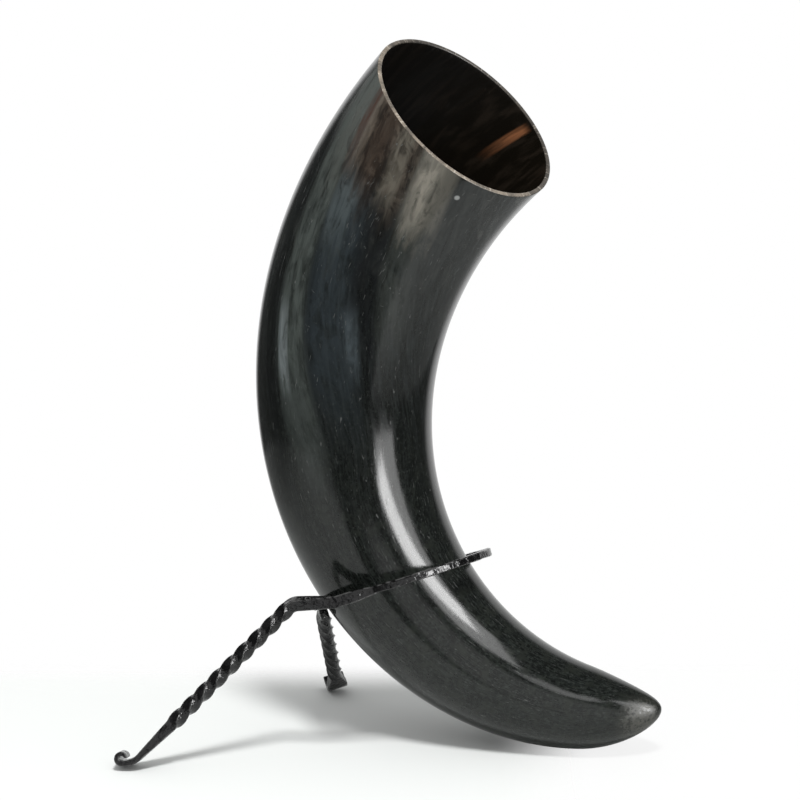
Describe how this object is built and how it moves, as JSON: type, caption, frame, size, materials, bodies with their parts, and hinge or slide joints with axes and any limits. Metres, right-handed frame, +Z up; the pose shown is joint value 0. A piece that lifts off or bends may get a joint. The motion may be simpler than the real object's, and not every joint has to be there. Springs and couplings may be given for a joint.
{
  "type": "drinking horn with stand",
  "caption": "Curved hollow drinking horn with a cut rim and solid tip, standing in a tilted forged ring with twisted splayed legs and scroll feet.",
  "frame": {"origin": "on the table, straight below the centre of the ring", "axes": "+Z up from the table, +X the way the mouth opens, +Y to the far side of the horn"},
  "size_m": [0.1991, 0.1366, 0.2948],
  "materials": {
    "horn": "polished natural horn",
    "iron": "black lacquered forged iron"
  },
  "bodies": {
    "stand": {"ring": "iron", "front_leg": "iron", "rear_leg": "iron"},
    "horn": {"horn": "horn"}
  },
  "joints": [
    {"name": "horn_lift", "type": "hinge", "parent": "stand", "child": "horn", "pos_m": [0.111, 0, 0.143], "axis": [0, 1, 0], "range_deg": [0, 60]}
  ]
}
